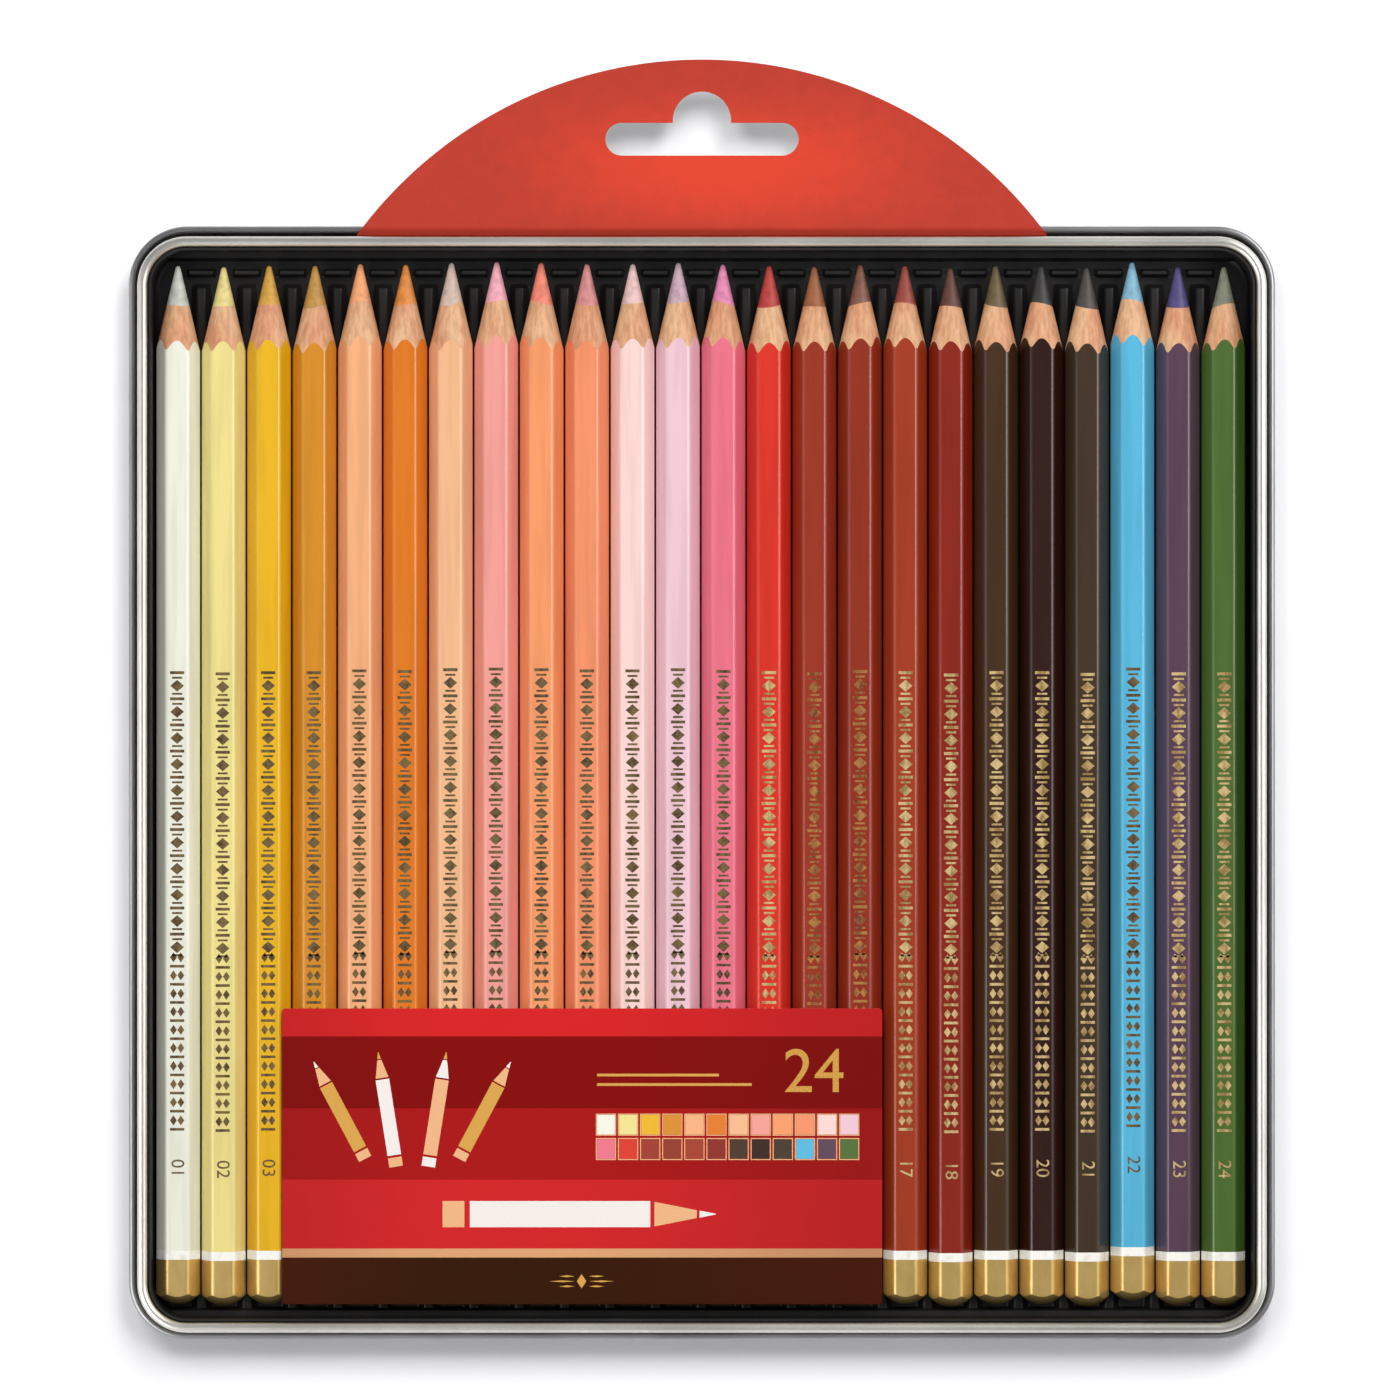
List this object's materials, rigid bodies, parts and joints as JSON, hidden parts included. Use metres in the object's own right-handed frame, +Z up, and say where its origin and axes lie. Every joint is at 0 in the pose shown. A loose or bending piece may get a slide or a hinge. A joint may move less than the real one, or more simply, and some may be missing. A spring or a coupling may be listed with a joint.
{
  "type": "coloured pencil tin",
  "caption": "Flat open tin with sharpened hexagonal colouring pencils in a black grooved tray, a printed card across them, its lid nested below and a red card tab with a hanging slot.",
  "frame": {"origin": "centre of the open base's plan, on the face that the tin lies on, which is the closed face of the upturned lid", "axes": "+X runs along the row of pencils from the white one to the green one, +Y points the way the tips and the hanging tab point, and +Z points up out of the open tin"},
  "size_m": [0.1928, 0.2153, 0.0116],
  "materials": {
    "tinplate": "satin",
    "tray_plastic": "satin",
    "red_card": "satin",
    "label_print": "gloss",
    "lacquer_01": "gloss",
    "core_01": "matte",
    "lacquer_02": "gloss",
    "core_02": "matte",
    "lacquer_03": "gloss",
    "core_03": "matte",
    "lacquer_04": "gloss",
    "core_04": "matte",
    "lacquer_05": "gloss",
    "core_05": "matte",
    "lacquer_06": "gloss",
    "core_06": "matte",
    "lacquer_07": "gloss",
    "core_07": "matte",
    "lacquer_08": "gloss",
    "core_08": "matte",
    "lacquer_09": "gloss",
    "core_09": "matte",
    "lacquer_10": "gloss",
    "core_10": "matte",
    "lacquer_11": "gloss",
    "core_11": "matte",
    "lacquer_12": "gloss",
    "core_12": "matte",
    "lacquer_13": "gloss",
    "core_13": "matte",
    "lacquer_14": "gloss",
    "core_14": "matte",
    "lacquer_15": "gloss",
    "core_15": "matte",
    "lacquer_16": "gloss",
    "core_16": "matte",
    "lacquer_17": "gloss",
    "core_17": "matte",
    "lacquer_18": "gloss",
    "core_18": "matte",
    "lacquer_19": "gloss",
    "core_19": "matte",
    "lacquer_20": "gloss",
    "core_20": "matte",
    "lacquer_21": "gloss",
    "core_21": "matte",
    "lacquer_22": "gloss",
    "core_22": "matte",
    "lacquer_23": "gloss",
    "core_23": "matte",
    "lacquer_24": "gloss",
    "core_24": "matte"
  },
  "bodies": {
    "lid": {"tin_lid": "tinplate", "hang_card": "red_card"},
    "tab": {"hang_tab": "red_card"},
    "base": {"tin_base": "tinplate"},
    "tray": {"inner_tray": "tray_plastic"},
    "label": {"label_card": "label_print"},
    "pencil_01": {"pencil_01_casing": "lacquer_01", "pencil_01_core": "core_01"},
    "pencil_02": {"pencil_02_casing": "lacquer_02", "pencil_02_core": "core_02"},
    "pencil_03": {"pencil_03_casing": "lacquer_03", "pencil_03_core": "core_03"},
    "pencil_04": {"pencil_04_casing": "lacquer_04", "pencil_04_core": "core_04"},
    "pencil_05": {"pencil_05_casing": "lacquer_05", "pencil_05_core": "core_05"},
    "pencil_06": {"pencil_06_casing": "lacquer_06", "pencil_06_core": "core_06"},
    "pencil_07": {"pencil_07_casing": "lacquer_07", "pencil_07_core": "core_07"},
    "pencil_08": {"pencil_08_casing": "lacquer_08", "pencil_08_core": "core_08"},
    "pencil_09": {"pencil_09_casing": "lacquer_09", "pencil_09_core": "core_09"},
    "pencil_10": {"pencil_10_casing": "lacquer_10", "pencil_10_core": "core_10"},
    "pencil_11": {"pencil_11_casing": "lacquer_11", "pencil_11_core": "core_11"},
    "pencil_12": {"pencil_12_casing": "lacquer_12", "pencil_12_core": "core_12"},
    "pencil_13": {"pencil_13_casing": "lacquer_13", "pencil_13_core": "core_13"},
    "pencil_14": {"pencil_14_casing": "lacquer_14", "pencil_14_core": "core_14"},
    "pencil_15": {"pencil_15_casing": "lacquer_15", "pencil_15_core": "core_15"},
    "pencil_16": {"pencil_16_casing": "lacquer_16", "pencil_16_core": "core_16"},
    "pencil_17": {"pencil_17_casing": "lacquer_17", "pencil_17_core": "core_17"},
    "pencil_18": {"pencil_18_casing": "lacquer_18", "pencil_18_core": "core_18"},
    "pencil_19": {"pencil_19_casing": "lacquer_19", "pencil_19_core": "core_19"},
    "pencil_20": {"pencil_20_casing": "lacquer_20", "pencil_20_core": "core_20"},
    "pencil_21": {"pencil_21_casing": "lacquer_21", "pencil_21_core": "core_21"},
    "pencil_22": {"pencil_22_casing": "lacquer_22", "pencil_22_core": "core_22"},
    "pencil_23": {"pencil_23_casing": "lacquer_23", "pencil_23_core": "core_23"},
    "pencil_24": {"pencil_24_casing": "lacquer_24", "pencil_24_core": "core_24"}
  },
  "joints": [
    {"name": "tab_fold", "type": "hinge", "parent": "lid", "child": "tab", "pos_m": [0, 0.0924, 0.0092], "axis": [1, 0, 0], "range_deg": [0, 90]},
    {"name": "base_lift", "type": "slide", "parent": "lid", "child": "base", "axis": [0, 0, 1], "range_m": [0, 0.03]},
    {"name": "tray_lift", "type": "slide", "parent": "base", "child": "tray", "axis": [0, 0, 1], "range_m": [0, 0.03]},
    {"name": "label_lift", "type": "slide", "parent": "tray", "child": "label", "axis": [0, 0, 1], "range_m": [0, 0.06]},
    {"name": "pencil_01_lift", "type": "slide", "parent": "tray", "child": "pencil_01", "axis": [0, 0, 1], "range_m": [0, 0.03]},
    {"name": "pencil_02_lift", "type": "slide", "parent": "tray", "child": "pencil_02", "axis": [0, 0, 1], "range_m": [0, 0.03]},
    {"name": "pencil_03_lift", "type": "slide", "parent": "tray", "child": "pencil_03", "axis": [0, 0, 1], "range_m": [0, 0.03]},
    {"name": "pencil_04_lift", "type": "slide", "parent": "tray", "child": "pencil_04", "axis": [0, 0, 1], "range_m": [0, 0.03]},
    {"name": "pencil_05_lift", "type": "slide", "parent": "tray", "child": "pencil_05", "axis": [0, 0, 1], "range_m": [0, 0.03]},
    {"name": "pencil_06_lift", "type": "slide", "parent": "tray", "child": "pencil_06", "axis": [0, 0, 1], "range_m": [0, 0.03]},
    {"name": "pencil_07_lift", "type": "slide", "parent": "tray", "child": "pencil_07", "axis": [0, 0, 1], "range_m": [0, 0.03]},
    {"name": "pencil_08_lift", "type": "slide", "parent": "tray", "child": "pencil_08", "axis": [0, 0, 1], "range_m": [0, 0.03]},
    {"name": "pencil_09_lift", "type": "slide", "parent": "tray", "child": "pencil_09", "axis": [0, 0, 1], "range_m": [0, 0.03]},
    {"name": "pencil_10_lift", "type": "slide", "parent": "tray", "child": "pencil_10", "axis": [0, 0, 1], "range_m": [0, 0.03]},
    {"name": "pencil_11_lift", "type": "slide", "parent": "tray", "child": "pencil_11", "axis": [0, 0, 1], "range_m": [0, 0.03]},
    {"name": "pencil_12_lift", "type": "slide", "parent": "tray", "child": "pencil_12", "axis": [0, 0, 1], "range_m": [0, 0.03]},
    {"name": "pencil_13_lift", "type": "slide", "parent": "tray", "child": "pencil_13", "axis": [0, 0, 1], "range_m": [0, 0.03]},
    {"name": "pencil_14_lift", "type": "slide", "parent": "tray", "child": "pencil_14", "axis": [0, 0, 1], "range_m": [0, 0.03]},
    {"name": "pencil_15_lift", "type": "slide", "parent": "tray", "child": "pencil_15", "axis": [0, 0, 1], "range_m": [0, 0.03]},
    {"name": "pencil_16_lift", "type": "slide", "parent": "tray", "child": "pencil_16", "axis": [0, 0, 1], "range_m": [0, 0.03]},
    {"name": "pencil_17_lift", "type": "slide", "parent": "tray", "child": "pencil_17", "axis": [0, 0, 1], "range_m": [0, 0.03]},
    {"name": "pencil_18_lift", "type": "slide", "parent": "tray", "child": "pencil_18", "axis": [0, 0, 1], "range_m": [0, 0.03]},
    {"name": "pencil_19_lift", "type": "slide", "parent": "tray", "child": "pencil_19", "axis": [0, 0, 1], "range_m": [0, 0.03]},
    {"name": "pencil_20_lift", "type": "slide", "parent": "tray", "child": "pencil_20", "axis": [0, 0, 1], "range_m": [0, 0.03]},
    {"name": "pencil_21_lift", "type": "slide", "parent": "tray", "child": "pencil_21", "axis": [0, 0, 1], "range_m": [0, 0.03]},
    {"name": "pencil_22_lift", "type": "slide", "parent": "tray", "child": "pencil_22", "axis": [0, 0, 1], "range_m": [0, 0.03]},
    {"name": "pencil_23_lift", "type": "slide", "parent": "tray", "child": "pencil_23", "axis": [0, 0, 1], "range_m": [0, 0.03]},
    {"name": "pencil_24_lift", "type": "slide", "parent": "tray", "child": "pencil_24", "axis": [0, 0, 1], "range_m": [0, 0.03]}
  ],
  "couplings": [
    {"joint": "pencil_03_lift", "follows": "label_lift", "ratio": 0.5},
    {"joint": "pencil_04_lift", "follows": "label_lift", "ratio": 0.5},
    {"joint": "pencil_05_lift", "follows": "label_lift", "ratio": 0.5},
    {"joint": "pencil_06_lift", "follows": "label_lift", "ratio": 0.5},
    {"joint": "pencil_07_lift", "follows": "label_lift", "ratio": 0.5},
    {"joint": "pencil_08_lift", "follows": "label_lift", "ratio": 0.5},
    {"joint": "pencil_09_lift", "follows": "label_lift", "ratio": 0.5},
    {"joint": "pencil_10_lift", "follows": "label_lift", "ratio": 0.5},
    {"joint": "pencil_11_lift", "follows": "label_lift", "ratio": 0.5},
    {"joint": "pencil_12_lift", "follows": "label_lift", "ratio": 0.5},
    {"joint": "pencil_13_lift", "follows": "label_lift", "ratio": 0.5},
    {"joint": "pencil_14_lift", "follows": "label_lift", "ratio": 0.5},
    {"joint": "pencil_15_lift", "follows": "label_lift", "ratio": 0.5},
    {"joint": "pencil_16_lift", "follows": "label_lift", "ratio": 0.5}
  ]
}
